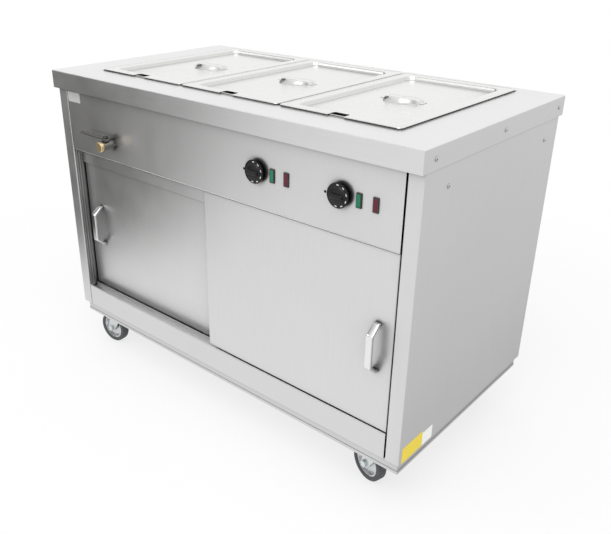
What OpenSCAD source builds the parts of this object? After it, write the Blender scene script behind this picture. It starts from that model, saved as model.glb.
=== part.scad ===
// Mobile hot cupboard trolley with a three-pan bain-marie top.
// Millimetres, +Z up, front towards -Y. The origin is on the floor, under the middle of the overall box.

/* [Overall] */
// Length of the worktop, left to right
unit_w = 1200; // [1150:10:1500]
// Depth of the worktop, front to back
unit_d = 650; // [630:10:800]
// Height of the cabinet, from the foot of the side panels to the worktop
body_h = 733; // [640:1:900]

/* [Sheet metal] */
// Thickness of the worktop sheet
top_t = 1.5; // [1:0.1:2.5]
// Thickness of the cabinet sheet
body_t = 1.2; // [0.8:0.1:2]
// Height of the folded edge of the worktop
edge_h = 48.4; // [30:0.1:70]
// Width of the lip turned in under the worktop edge
edge_lip = 11; // [6:0.5:13]
// Outside radius of a folded edge
fold_r = 2.4; // [2.1:0.1:3]

/* [Cabinet] */
// Step from the worktop front back to the cabinet face
face_in = 14.8; // [14:0.1:25]
// Step from the worktop back in to the back of the side panels
back_in = 16.6; // [12:0.1:40]
// Width of the upright face beside the doors
stile_w = 38; // [30:1:60]
// Shadow gap between the uprights and what lies between them
face_gap = 3.5; // [1:0.1:5]
// Distance from the worktop down to the foot of the control fascia
fascia_drop = 223; // [215:1:260]
// Height of the rail under the doors
rail_h = 67.5; // [50:0.5:100]
// Height of the plinth
plinth_h = 33; // [26:1:60]
// Step from the worktop side in to the plinth
plinth_side_in = 10.7; // [9:0.1:20]
// Step from the worktop front back to the plinth
plinth_front_in = 25; // [18:0.5:60]
// Step from the worktop back in to the plinth
plinth_back_in = 22; // [20:0.5:60]

/* [Well and pans] */
// Width of one pan over its flange
pan_w = 325; // [320:1:330]
// Length of one pan over its flange, front to back
pan_l = 530; // [520:1:540]
// Depth of a pan
pan_d = 100; // [40:1:120]
// Wall of a pan
pan_t = 0.9; // [0.6:0.1:1.5]
// Width of the flange round a pan
pan_flange = 14; // [13.5:0.5:16]
// Gap between neighbouring pans
pan_gap = 4; // [2:0.5:5]
// Step from the worktop front back to the pans
pan_front_in = 89.6; // [88:0.1:110]
// Width of worktop that a pan flange rests on
pan_bearing = 8.5; // [7:0.5:9]
// Width of the ledge that the bars between the pans rest on
well_ledge = 4; // [3:0.5:5]
// Depth of the well below the worktop
well_d = 150; // [140:1:152]

/* [Lids] */
// Width of the flat rim round a lid
lid_rim = 30; // [26:1:40]
// Depth of the sunk panel of a lid
lid_sink = 10; // [6:0.5:14]
// Sheet of a lid
lid_t = 0.9; // [0.6:0.1:1.2]
// Height of the turned-down edge of a lid
lid_edge_h = 2.4; // [2:0.1:5]
// Width of the ladle notch at the front of a lid
notch_w = 42; // [30:1:60]
// Length of the ladle notch, front to back
notch_l = 28; // [20:1:28]
// Diameter of the finger dimple of a lid
dimple_d = 98; // [80:1:120]
// Width of the strap across the dimple
strap_w = 22; // [16:1:28]

/* [Doors] */
// Thickness of a sliding door
door_t = 18; // [16:0.5:20]
// Step from the cabinet face back to the front door
door_in = 3.5; // [3:0.1:4.5]
// Distance between the two door planes
door_pitch = 27.5; // [25:0.5:30]
// How far the closed doors overlap each other
door_lap = 28; // [20:1:60]
// Depth of the grooves that the doors run in
groove_d = 9; // [7:0.5:12]
// Gap between the foot of a door and the top of the rail
door_foot_gap = 2.5; // [1:0.5:4]
// How far a door reaches up behind the fascia
door_up = 11; // [6:1:14]
// How far the web between the door channels hangs below the fascia
web_drop = 44; // [20:1:60]
// Bar thickness of a door handle
handle_t = 6.5; // [5:0.5:8]
// Width of a door handle
handle_w = 17; // [12:1:22]
// Height of a door handle
handle_h = 122; // [100:1:150]
// How far a door handle stands out
handle_out = 34; // [30:1:40]
// Distance from the door edge to the middle of the left handle
handle_left_in = 62; // [30:1:90]
// Distance from the door edge to the middle of the right handle
handle_right_in = 40; // [30:1:90]
// Distance from the worktop down to the middle of the handles
handle_drop = 453; // [350:1:550]

/* [Controls] */
// Diameter of a control knob
knob_d = 58; // [50:1:66]
// How far a control knob stands out
knob_out = 22; // [18:1:28]
// Place of the left knob, to the right of the middle
knob_x = 171; // [120:1:200]
// Distance between the two knobs
knob_pitch = 235; // [180:1:240]
// Distance from the worktop down to the knobs
knob_drop = 133.5; // [115:0.5:150]
// Diameter of a thermostat spindle
spindle_d = 6; // [5:0.5:8]
// Width of an indicator lamp
lamp_w = 13.5; // [11:0.5:16]
// Height of an indicator lamp
lamp_h = 32; // [26:1:36]
// Distance from a knob to its green lamp
lamp_green_dx = 47; // [44:1:56]
// Distance from a knob to its red lamp
lamp_red_dx = 88; // [76:1:100]
// Distance from the worktop down to the lamps
lamp_drop = 135.5; // [115:0.5:150]

/* [Drain tap] */
// Place of the tap, to the left of the middle
tap_x = 366; // [340:1:440]
// Distance from the worktop down to the tap
tap_drop = 173.5; // [173:0.5:176]
// How far the tap stands out
tap_out = 46; // [40:1:60]
// Outside diameter of the drain pipe
pipe_d = 21.3; // [17:0.1:22]
// Bore of the drain pipe
pipe_bore = 16; // [12:0.5:17]
// Length of the tap lever from its pivot
lever_l = 110; // [80:1:120]

/* [Castors] */
// Height of a castor from the floor to its plate
castor_h = 126; // [118:1:140]
// How far the castor plates sit up inside the plinth
castor_in = 6; // [3:0.5:10]
// Diameter of a wheel
wheel_d = 100; // [80:1:104]
// Width of the tread
tread_w = 25; // [20:1:30]
// Distance of a castor from the middle, left to right
castor_x = 506; // [460:1:520]
// Distance of a castor from the middle, front to back
castor_y = 240; // [200:1:250]
// Trail from the swivel axis to the wheel axle
trail = 35; // [25:1:38]
// Diameter of a wheel axle
axle_d = 10; // [8:0.5:12]
// Thickness of a fork leg
leg_t = 2.5; // [2:0.1:3.5]
// Radial clearance of a running fit
run_gap = 0.05; // [0.02:0.01:0.1]
// Gap between faces that turn past each other
face_clear = 0.3; // [0.2:0.05:0.5]

/* [Hidden] */
$fn = 48;
eps = 0.02;

// Heights, from the floor up
plinth_z = castor_h - castor_in;
body_z = plinth_z + plinth_h;
top_z = body_z + body_h;
skirt_z = top_z - edge_h;
under_z = top_z - top_t;
fascia_z = top_z - fascia_drop;
rail_z = body_z + rail_h;
groove_z = rail_z - groove_d;
track_h = 33;
track_z = fascia_z + track_h;
web_z = fascia_z - web_drop;
floor_z = rail_z - 40;
ceiling_z = track_z - 10;
well_z = top_z - well_d;
knob_z = top_z - knob_drop;
lamp_z = top_z - lamp_drop;
tap_z = top_z - tap_drop;
handle_z = top_z - handle_drop;
shelf_z = (rail_z + ceiling_z) / 2;

// Places, left to right
half_w = unit_w / 2;
side_x = half_w - top_t;
corner_clear = fold_r - top_t + 0.1;
jamb_x = side_x - stile_w;
infill_x = jamb_x - face_gap;
pan_pitch = pan_w + pan_gap;
pans_w = 3 * pan_w + 2 * pan_gap;
well_w = pans_w - 2 * pan_bearing;
well_l = pan_l - 2 * pan_bearing;

gland_out = 26;
// What stands out in front of and behind the worktop; the origin lies midway between the two
front_reach = max(tap_out, knob_out, handle_out - door_in) - face_in;
back_reach = gland_out + body_t - back_in;
front_y = (front_reach - unit_d - back_reach) / 2;
back_y = front_y + unit_d;
mid_y = front_y + unit_d / 2;
face_y = front_y + face_in;
panel_y = back_y - back_in;
pans_y = front_y + pan_front_in;
well_y = pans_y + pan_bearing;
pans_mid_y = pans_y + pan_l / 2;
jamb_depth = door_in + door_pitch + door_t + 4.5;
liner_y = face_y + jamb_depth;
liner_back_y = panel_y - 26;

function pan_x(i) = (i - 1) * pan_pitch;

// Doors
door_w = infill_x + door_lap / 2;
door_z = rail_z + door_foot_gap;
door_h = fascia_z + door_up - door_z;
door_left_y = face_y + door_in + door_pitch;
door_right_y = face_y + door_in;

// A block between two corners
module block(low, high) {
    translate(low) cube(high - low);
}

// A section in depth and height, carried from x0 to x1
module along_x(x0, x1) {
    translate([x0, 0, 0]) rotate([90, 0, 90]) linear_extrude(x1 - x0) children();
}

// A section in width and height, carried from y0 to y1
module along_y(y0, y1) {
    translate([0, y1, 0]) rotate([90, 0, 0]) linear_extrude(y1 - y0) children();
}

// A rectangle with round corners, about the origin
module round_rect(w, l, r) {
    square([w - 2 * r, l], center = true);
    square([w, l - 2 * r], center = true);
    for (x = [-1, 1], y = [-1, 1])
        translate([x * (w / 2 - r), y * (l / 2 - r)]) circle(r);
}

// A rectangle that stands on y = 0 and has its two upper corners round
module arch_rect(w, h, r) {
    translate([-w / 2, 0]) square([w, h - r]);
    translate([-w / 2 + r, 0]) square([w - 2 * r, h]);
    for (x = [-1, 1]) translate([x * (w / 2 - r), h - r]) circle(r);
}

// A block with round upper edges, standing on z = 0 about the Z axis
module soft_block(w, l, h, r) {
    intersection() {
        along_x(-w / 2, w / 2) arch_rect(l, h, r);
        along_y(-l / 2, l / 2) arch_rect(w, h, r);
    }
}

// An open tray of sheet t, its floor uppermost and its edges turned down
module tray(w, l, h, t, r) {
    difference() {
        soft_block(w, l, h, r);
        translate([0, 0, -eps]) soft_block(w - 2 * t, l - 2 * t, h - t + eps, r - t);
    }
}

// Folded sheet: a strip of thickness t whose middle follows a path with bends of radius r
function unit(v) = v / norm(v);
function turn(v, a) = [v[0] * cos(a) - v[1] * sin(a), v[0] * sin(a) + v[1] * cos(a)];
function cross2(a, b) = a[0] * b[1] - a[1] * b[0];
function bend(p, q, s, r, n) = let (
        a = unit(p - q),
        b = unit(s - q),
        half = acos(a * b) / 2,
        c = q + unit(a + b) * r / sin(half),
        from = q + a * r / tan(half) - c,
        sweep = sign(cross2(-a, b)) * (180 - 2 * half))
    [for (i = [0:n]) c + turn(from, sweep * i / n)];
function middle(path, r, n) = [
    path[0],
    for (i = [1:len(path) - 2]) each bend(path[i - 1], path[i], path[i + 1], r, n),
    path[len(path) - 1]];
function side_step(p, i) = let (
        a = unit(p[min(i, len(p) - 2) + 1] - p[min(i, len(p) - 2)]),
        b = unit(p[max(i, 1)] - p[max(i, 1) - 1]),
        m = unit(a + b))
    [-m[1], m[0]] / (m * a);
function strip(path, t, r, n = 4) = let (
        m = middle(path, r, n),
        last = len(m) - 1)
    concat([for (i = [0:last]) m[i] + side_step(m, i) * t / 2],
        [for (i = [last:-1:0]) m[i] - side_step(m, i) * t / 2]);

module folded(path, t, r, n = 4) {
    polygon(strip(path, t, r, n));
}

steel = [0.78, 0.78, 0.77];

// Worktop: one sheet with its four edges folded down, and a lip turned in at the front and the back
cutout_r = 3;
module worktop() {
    color(steel) difference() {
        union() {
            translate([0, (front_y + back_y) / 2, skirt_z])
                tray(unit_w, unit_d, edge_h, top_t, fold_r);
            block([-half_w, front_y, skirt_z], [half_w, front_y + edge_lip, skirt_z + top_t]);
            block([-half_w, back_y - edge_lip, skirt_z], [half_w, back_y, skirt_z + top_t]);
        }
        translate([0, well_y + well_l / 2, under_z - 1]) linear_extrude(top_t + 2)
            round_rect(well_w, well_l, cutout_r);
        screw_holes();
    }
}

// Side panel: outer sheet, front upright, jamb of the door opening, rear flange, and flanges along
// the foot and the top
rear_flange = 22;
side_flange = 24;
module side_panel(s) {
    t = body_t / 2;
    color(steel) difference() {
        mirror([s < 0 ? 1 : 0, 0, 0]) {
            translate([0, 0, body_z]) linear_extrude(under_z - body_z - corner_clear) folded([
                [jamb_x + 11, face_y + jamb_depth - t],
                [jamb_x + t, face_y + jamb_depth - t],
                [jamb_x + t, face_y + t],
                [side_x - t, face_y + t],
                [side_x - t, panel_y - t],
                [side_x - rear_flange, panel_y - t]], body_t, 1.6);
            block([side_x - side_flange, face_y + 3, body_z],
                [side_x - body_t, panel_y - 3, body_z + body_t]);
            block([jamb_x + body_t, face_y + body_t, body_z],
                [side_x - body_t, face_y + jamb_depth - body_t, body_z + body_t]);
            block([side_x - side_flange, face_y + side_flange, under_z - 2 * body_t],
                [side_x - corner_clear, panel_y - 3, under_z]);
        }
        screw_holes();
    }
}
module side_panel_left() side_panel(-1);
module side_panel_right() side_panel(1);

// Panel screws: dome heads along the side edges of the worktop and high on the side panels
screw_d = 5;
screw_head_d = 10;
screw_head_h = 2.6;
screw_dome_r = 6.2;
screw_l = 5;
edge_screw_z = skirt_z + edge_h * 0.463;
side_screw_z = skirt_z - 46;
function screw_spots() = concat(
    [for (y = [-0.432, 0.014, 0.455]) [half_w, mid_y + y * unit_d, edge_screw_z]],
    [for (y = [-0.337, 0.366]) [side_x, mid_y + y * unit_d, side_screw_z]]);
module at_screws() {
    for (s = [-1, 1], p = screw_spots())
        translate([s * p[0], p[1], p[2]]) rotate([0, s * 90, 0]) children();
}
module screw_holes() {
    at_screws() translate([0, 0, -screw_l - 1]) cylinder(d = screw_d + 0.1, h = screw_l + 2);
}
module panel_screws() {
    color("silver") at_screws() {
        translate([0, 0, -screw_l]) cylinder(d = screw_d, h = screw_l + eps);
        rotate_extrude() intersection() {
            square([screw_head_d / 2, screw_head_h]);
            translate([0, screw_head_h - screw_dome_r]) circle(screw_dome_r);
        }
    }
}

// Back panel: a flat sheet screwed over the rear flanges of the side panels, with a hole for the gland
gland_in = 118.5;
gland_x = side_x - gland_in;
gland_z = body_z + 70;
gland_thread_d = 20;
module back_panel() {
    color(steel) difference() {
        block([-side_x + 4, panel_y, body_z + 2], [side_x - 4, panel_y + body_t, skirt_z - 2]);
        translate([gland_x, panel_y - 1, gland_z]) rotate([-90, 0, 0])
            cylinder(d = gland_thread_d + 0.4, h = body_t + 2);
    }
}

// Base tray: the plinth, open below, with a hem along its foot
plinth_hem_h = 8;
plinth_hem_out = 0.8;
plinth_x = half_w - plinth_side_in;
plinth_front_y = front_y + plinth_front_in;
plinth_back_y = back_y - plinth_back_in;
plinth_mid_y = (plinth_front_y + plinth_back_y) / 2;
plinth_l = plinth_back_y - plinth_front_y;
module base_tray() {
    hem = plinth_hem_out;
    color(steel) {
        translate([0, plinth_mid_y, plinth_z])
            tray(2 * plinth_x, plinth_l, plinth_h, body_t, fold_r);
        difference() {
            block([-plinth_x - hem, plinth_front_y - hem, plinth_z],
                [plinth_x + hem, plinth_back_y + hem, plinth_z + plinth_hem_h]);
            block([-plinth_x + body_t, plinth_front_y + body_t, plinth_z - 1],
                [plinth_x - body_t, plinth_back_y - body_t, plinth_z + plinth_hem_h + 1]);
        }
    }
}

// Castor channels: two hat sections across the base tray, which the castor plates bolt up to
channel_t = 2;
channel_flange = 16;
castor_plate_w = 100;
castor_plate_l = 82;
module castor_channels() {
    top = body_z - body_t - channel_t / 2;
    low = castor_h + channel_t / 2;
    web = castor_plate_w / 2 + 4;
    out = web + channel_flange;
    end_in = fold_r + 0.1;
    color("darkgray") for (s = [-1, 1])
        translate([s * castor_x, 0, 0])
            along_y(plinth_front_y + end_in, plinth_back_y - end_in)
                folded([[-out, top], [-web, top], [-web, low], [web, low], [web, top], [out, top]],
                    channel_t, 2);
}

// Bottom rail: one section that folds from the foot flange up the face, over the lip, down into the
// front door groove, over the ridge, through the rear groove and out to the ledge behind it
ridge_mid = door_in + door_t + (door_pitch - door_t) / 2;
ridge_w = 3.8;
module bottom_rail() {
    t = body_t / 2;
    low = groove_z - t;
    high = rail_z - t;
    rear = door_in + door_pitch + door_t + 2;
    color(steel) along_x(-infill_x, infill_x) translate([face_y, 0])
        folded([
            [32, body_z + t], [t, body_z + t], [t, high], [t + 2, high], [t + 2, low],
            [ridge_mid - ridge_w / 2, low], [ridge_mid - ridge_w / 2, high - 1],
            [ridge_mid + ridge_w / 2, high - 1], [ridge_mid + ridge_w / 2, low],
            [rear, low], [rear, high], [jamb_depth + 8, high]], body_t, 0.8, 2);
}

// Control fascia: hangs from a flange under the worktop and is cut for the spindles, lamps and tap
spindle_hole_d = 10;
lamp_body_w = lamp_w - 2.7;
lamp_body_h = lamp_h - 4;
function knobs() = [knob_x, knob_x + knob_pitch];
function lamps(dx) = [for (x = knobs()) x + dx];
module control_fascia() {
    t = body_t / 2;
    color(steel) difference() {
        union() {
            along_x(-infill_x, infill_x) translate([face_y, 0])
                folded([[18, under_z - t], [t, under_z - t], [t, fascia_z]], body_t, 1.6);
            for (s = [-1, 1]) mirror([s < 0 ? 1 : 0, 0, 0])
                block([infill_x - body_t, face_y + t, track_z + 1],
                    [infill_x, face_y + 15, under_z - 3]);
        }
        for (x = knobs())
            translate([x, face_y - 1, knob_z]) rotate([-90, 0, 0])
                cylinder(d = spindle_hole_d, h = body_t + 2);
        for (x = concat(lamps(lamp_green_dx), lamps(lamp_red_dx)))
            block([x - lamp_body_w / 2, face_y - 1, lamp_z - lamp_body_h / 2],
                [x + lamp_body_w / 2, face_y + body_t + 1, lamp_z + lamp_body_h / 2]);
        translate([-tap_x, face_y - 1, tap_z]) rotate([-90, 0, 0])
            cylinder(d = pipe_d + 1, h = body_t + 2);
    }
}

// Top track: two channels side by side, deep enough to lift the doors out; the fascia is its front
module top_track() {
    t = body_t / 2;
    front = body_t + t;
    rear = jamb_depth - t;
    color(steel) {
        along_x(-infill_x, infill_x) translate([face_y, 0])
            folded([[front, fascia_z], [front, track_z - t], [rear, track_z - t], [rear, web_z]],
                body_t, 1.2, 3);
        along_x(-jamb_x, jamb_x) translate([face_y + ridge_mid - t, web_z])
            square([body_t, track_z - t - web_z]);
    }
}

// Well tank: a deep-drawn bath with round corners, hung by its flange under the worktop
drain_y = well_y + well_ledge + 30;
module bath_form(w, l, h, r, c) {
    intersection() {
        mirror([0, 0, 1]) soft_block(w, l, h, r);
        translate([0, 0, -h]) linear_extrude(h) round_rect(w, l, c);
    }
}
module well_tank() {
    w = well_w - 2 * well_ledge;
    l = well_l - 2 * well_ledge;
    lip = 14;
    foot_r = 20;
    corner_r = 26;
    color("silver") translate([0, well_y + well_l / 2, under_z]) difference() {
        union() {
            translate([0, 0, -body_t]) linear_extrude(body_t)
                round_rect(well_w + 2 * lip, well_l + 2 * lip, 16);
            bath_form(w + 2 * body_t, l + 2 * body_t, under_z - well_z + body_t, foot_r, corner_r);
        }
        translate([0, 0, eps])
            bath_form(w, l, under_z - well_z + eps, foot_r - body_t, corner_r - body_t);
        translate([-tap_x, drain_y - well_y - well_l / 2, well_z - under_z - body_t - 1])
            cylinder(d = pipe_bore, h = body_t + 2);
    }
}

// Pan bars: two bars across the well, whose tongues lie on its ledges
bar_w = 20;
bar_h = 12;
module pan_bars() {
    wall = 1.5;
    color("silver") for (s = [-1, 1]) translate([s * pan_pitch / 2, 0, 0]) {
        block([-bar_w / 2, well_y + 0.5, under_z], [bar_w / 2, well_y + well_l - 0.5, top_z]);
        for (side = [-1, 1]) mirror([side < 0 ? 1 : 0, 0, 0])
            block([bar_w / 2 - wall, well_y + well_ledge + 0.5, top_z - bar_h],
                [bar_w / 2, well_y + well_l - well_ledge - 0.5, top_z]);
    }
}

// Cupboard ceiling: closes the cupboard under the well and lies on the liner
module cupboard_ceiling() {
    color("silver") block([-jamb_x - body_t, liner_y, ceiling_z],
        [jamb_x + body_t, liner_back_y + body_t, ceiling_z + body_t]);
}

// Cupboard floor: a trough for the heating element, hung on the rail in front and the liner behind
liner_r = 3;
trough_edge = 14;
module cupboard_floor() {
    t = body_t / 2;
    front = liner_y + trough_edge;
    back = liner_back_y - trough_edge;
    color("silver") along_x(-jamb_x, jamb_x)
        folded([
            [liner_y - 1, rail_z + t], [front, rail_z + t], [front, floor_z + t],
            [back, floor_z + t], [back, rail_z + t], [liner_back_y - liner_r, rail_z + t]],
            body_t, 2);
}

// Inner liner: one sheet folded round the sides and back, with runners for the middle shelf
runner_w = 14;
runner_h = 9;
runner_in = 20;
module inner_liner() {
    t = body_t / 2;
    color("silver") {
        translate([0, 0, body_z]) linear_extrude(ceiling_z - body_z) folded([
            [-jamb_x - t, liner_y], [-jamb_x - t, liner_back_y + t],
            [jamb_x + t, liner_back_y + t], [jamb_x + t, liner_y]], body_t, liner_r);
        for (s = [-1, 1]) mirror([s < 0 ? 1 : 0, 0, 0]) {
            block([jamb_x - runner_w, liner_y + runner_in, shelf_z - body_t],
                [jamb_x + t, liner_back_y - runner_in, shelf_z]);
            block([jamb_x - runner_w, liner_y + runner_in, shelf_z - runner_h],
                [jamb_x - runner_w + body_t, liner_back_y - runner_in, shelf_z]);
        }
    }
}

// Shelves: two alike, folded down all round and slotted for the warm air; the lower one covers the
// element and the upper one lies on the runners
shelf_h = 18;
shelf_slots = 11;
slot_w = 10;
module shelf(z) {
    w = 2 * (jamb_x - 3);
    l = liner_back_y - liner_y - 20;
    pitch = w / (shelf_slots + 1);
    translate([0, (liner_y + liner_back_y) / 2, z]) difference() {
        tray(w, l, shelf_h, body_t, 2.2);
        for (i = [1:shelf_slots], s = [-1, 1])
            translate([-w / 2 + i * pitch, s * l / 4, shelf_h - body_t - 1])
                linear_extrude(body_t + 2) round_rect(slot_w, l * 0.32, slot_w * 0.49);
    }
}
module shelves() {
    color("silver") {
        shelf(rail_z + body_t);
        shelf(shelf_z);
    }
}

// Heating elements: a sheathed hairpin held by two cross strips
module hairpin(run, gap, d) {
    for (s = [-1, 1]) translate([-run / 2, s * gap / 2, 0]) rotate([0, 90, 0])
        cylinder(d = d, h = run);
    translate([run / 2, 0, 0]) rotate([0, 0, -90])
        rotate_extrude(angle = 180) translate([gap / 2, 0]) circle(d = d);
}
element_d = 8;
element_rise = 14;
strip_w = 18;
strip_t = 2;
strip_over = 20;
module heater(run, gap, z, held_at) {
    reach = gap / 2 + strip_over;
    low = z - element_d / 2;
    translate([0, 0, z]) hairpin(run, gap, element_d);
    for (x = [-0.36, 0.36]) translate([x * run, 0, 0]) {
        block([-strip_w / 2, -reach, low - strip_t], [strip_w / 2, reach, low]);
        for (s = [-1, 1]) translate([0, s * (reach - strip_t / 2), 0])
            block([-strip_w / 2, -strip_t / 2, min(low, held_at)],
                [strip_w / 2, strip_t / 2, max(low, held_at)]);
    }
}
module well_element() {
    under = well_z - body_t;
    color("dimgray") translate([0, well_y + well_l / 2, 0])
        heater(well_w * 0.7, well_l * 0.3, under - element_d / 2, under);
}
module cupboard_element() {
    over = floor_z + body_t;
    color("dimgray") translate([0, (liner_y + liner_back_y) / 2, 0])
        heater(jamb_x * 1.46, (liner_back_y - liner_y) * 0.37, over + element_rise, over);
}

// Thermostats: two alike behind the fascia, each with a bush that its spindle turns in
spindle_in = 18;
switch_w = 36;
switch_h = 48;
switch_b = 8;
module thermostats() {
    color("gainsboro") for (x = knobs()) translate([x, face_y, knob_z]) difference() {
        union() {
            block([-switch_w / 2, body_t, -switch_h / 2], [switch_w / 2, switch_b, switch_h / 2]);
            block([3 - switch_w / 2, switch_b, 4 - switch_h / 2],
                [switch_w / 2 - 3, 2 * spindle_in, switch_h / 2 - 4]);
        }
        rotate([-90, 0, 0])
            cylinder(d = spindle_d + 2 * run_gap, h = spindle_in + 2);
    }
}

// Indicator lamps: black bezel and body snapped through the fascia, with a coloured lens
bezel_out = 2.8;
lens_back = 0.8;
lamp_b = 24;
lens_w = lamp_w - 4;
lens_h = lamp_h - 5;
module lamp_body(x) {
    difference() {
        union() {
            translate([x, face_y, lamp_z]) rotate([90, 0, 0])
                soft_block(lamp_w, lamp_h, bezel_out, 0.8);
            block([x - lamp_body_w / 2, face_y - 0.5, lamp_z - lamp_body_h / 2],
                [x + lamp_body_w / 2, face_y + lamp_b, lamp_z + lamp_body_h / 2]);
        }
        block([x - lens_w / 2, face_y - bezel_out - 1, lamp_z - lens_h / 2],
            [x + lens_w / 2, face_y - lens_back, lamp_z + lens_h / 2]);
    }
}
module lamp_lens(x) {
    translate([x, face_y - lens_back, lamp_z]) rotate([90, 0, 0])
        soft_block(lens_w - 0.1, lens_h - 0.1, bezel_out - 0.4, 0.7);
}
module lamp_bodies() {
    color([0.08, 0.08, 0.08])
        for (x = concat(lamps(lamp_green_dx), lamps(lamp_red_dx))) lamp_body(x);
}
module lamp_lenses_green() color("seagreen") for (x = lamps(lamp_green_dx)) lamp_lens(x);
module lamp_lenses_red() color("brown") for (x = lamps(lamp_red_dx)) lamp_lens(x);

// Drain pipe: a nut under the well, an elbow, and a straight run forward to the tap
nut_h = 6;
elbow_r = well_z - body_t - nut_h - tap_z;
inlet_b = 4;
module pipe_ring() {
    difference() {
        circle(d = pipe_d);
        circle(d = pipe_bore);
    }
}
module drain_pipe() {
    color("silver") translate([-tap_x, drain_y, tap_z]) {
        translate([0, 0, elbow_r]) linear_extrude(nut_h) difference() {
            circle(d = pipe_d + 13, $fn = 6);
            circle(d = pipe_bore);
        }
        translate([0, -elbow_r, elbow_r]) rotate([0, 90, 0])
            rotate_extrude(angle = 90) translate([elbow_r, 0]) pipe_ring();
        translate([0, -elbow_r, 0]) rotate([90, 0, 0])
            linear_extrude(drain_y - elbow_r - face_y - inlet_b) pipe_ring();
    }
}

// Drain tap: hexagon against the fascia, round barrel with a boss for the stem, and a brass cap
tap_hex = 30;
tap_barrel_d = 29;
tap_cap_l = 10;
stem_b = 22;
stem_d = 8;
boss_h = 18;
module along_front(x, z, b0, b1) {
    translate([x, face_y + b0, z]) rotate([90, 0, 0]) linear_extrude(b0 - b1) children();
}
module tap_body() {
    end = tap_cap_l - tap_out;
    color("silver") difference() {
        union() {
            along_front(-tap_x, tap_z, inlet_b, -1) circle(d = pipe_d);
            along_front(-tap_x, tap_z, 0, -9) circle(d = tap_hex, $fn = 6);
            along_front(-tap_x, tap_z, -8, end) circle(d = tap_barrel_d);
            translate([-tap_x, face_y - stem_b, tap_z]) cylinder(d = 17, h = boss_h);
        }
        along_front(-tap_x, tap_z, inlet_b + 1, -11) circle(d = pipe_bore);
        translate([-tap_x, face_y - stem_b, tap_z + 4])
            cylinder(d = stem_d + 2 * run_gap, h = boss_h);
    }
}
module tap_cap() {
    d = tap_barrel_d - 2;
    color("goldenrod") translate([-tap_x, face_y - tap_out + tap_cap_l, tap_z])
        rotate([90, 0, 0]) rotate_extrude() {
            square([d / 2, tap_cap_l - 2]);
            square([d / 2 - 2, tap_cap_l]);
            translate([d / 2 - 2, tap_cap_l - 2]) circle(2);
        }
}

// Tap lever: a strap with a round grip end and a short tail, on the stem that turns the tap
lever_t = 3;
lever_w = 16;
tail_l = 17;
module tap_lever() {
    z = tap_z + boss_h + face_clear;
    color("dimgray") translate([-tap_x, face_y - stem_b, z]) {
        linear_extrude(lever_t) difference() {
            union() {
                translate([lever_w / 2 - lever_l, -lever_w / 2]) square([lever_l - lever_w / 2, lever_w]);
                translate([lever_w / 2 - lever_l, 0]) circle(lever_w / 2);
                circle(10);
                translate([0, -6]) square([tail_l - 6, 12]);
                translate([tail_l - 6, 0]) circle(6);
            }
            translate([9 - lever_l, 0]) circle(3);
        }
        translate([0, 0, lever_t - eps]) cylinder(d = 14, h = 6, $fn = 6);
        translate([0, 0, 6 - boss_h]) cylinder(d = stem_d, h = boss_h + 4);
    }
}

// Cable gland: locknut inside, hexagon and dome nut outside, bored for the cable
gland_bore = 10;
gland_hex = 27;
module cable_gland() {
    color([0.08, 0.08, 0.08]) translate([gland_x, panel_y, gland_z]) rotate([-90, 0, 0])
        difference() {
            union() {
                translate([0, 0, -11]) cylinder(d = gland_thread_d, h = 13 + body_t);
                translate([0, 0, -5]) cylinder(d = gland_hex, h = 5, $fn = 6);
                translate([0, 0, body_t]) cylinder(d = gland_hex, h = 8, $fn = 6);
                translate([0, 0, body_t]) rotate_extrude() {
                    square([11.5, gland_out - 3]);
                    square([8.5, gland_out]);
                    translate([8.5, gland_out - 3]) circle(3);
                }
            }
            translate([0, 0, -12]) cylinder(d = gland_bore, h = gland_out + body_t + 13);
        }
}

// Knobs: a skirt with a raised bar to grip, and the spindle that it turns
knob_skirt = 3.5;
knob_cone = 9;
grip_w = 14;
module knob(x) {
    color([0.08, 0.08, 0.08]) translate([x, face_y, knob_z]) rotate([90, 0, 0]) {
        translate([0, 0, face_clear]) {
            rotate_extrude() polygon([
                [0, 0], [knob_d / 2 - 1, 0], [knob_d / 2, 0.8], [knob_d / 2 - 0.6, knob_skirt - 0.8],
                [knob_d / 2 - 2, knob_skirt], [knob_d * 0.37, knob_skirt + 1.2],
                [knob_d * 0.31, knob_cone], [0, knob_cone + 0.6]]);
            soft_block(knob_d * 0.86, grip_w, knob_out - face_clear, grip_w / 4);
        }
        translate([0, 0, -spindle_in]) cylinder(d = spindle_d, h = spindle_in + 2);
    }
}
module knob_left() knob(knob_x);
module knob_right() knob(knob_x + knob_pitch);

// Sliding doors: an outer and an inner tray, a bow handle, and glides at the foot and the head
inner_h = 8;
module door_outer(x0, y0) {
    color(steel) translate([x0 + door_w / 2, y0 + door_t, door_z + door_h / 2])
        rotate([90, 0, 0]) tray(door_w, door_h, door_t, body_t, fold_r);
}
module door_inner(x0, y0) {
    color("silver") translate([x0 + door_w / 2, y0 + door_t - inner_h, door_z + door_h / 2])
        rotate([-90, 0, 0])
            tray(door_w - 2 * body_t, door_h - 2 * body_t, inner_h, body_t, body_t + 0.6);
}
handle_neck = 14;
handle_slope = 17;
module door_handle(x, y0) {
    end = (handle_h - handle_t) / 2;
    out = handle_out - handle_t / 2;
    grip = end - handle_slope;
    color("gainsboro") along_x(x - handle_w / 2, x + handle_w / 2) translate([y0, handle_z])
        folded([[0, end], [-handle_neck, end], [-out, grip], [-out, -grip], [-handle_neck, -end],
            [0, -end]], handle_t, 8, 6);
}
glide_l = 44;
glide_w = 12;
glide_in = 60;
glide_gap = 0.5;
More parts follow.
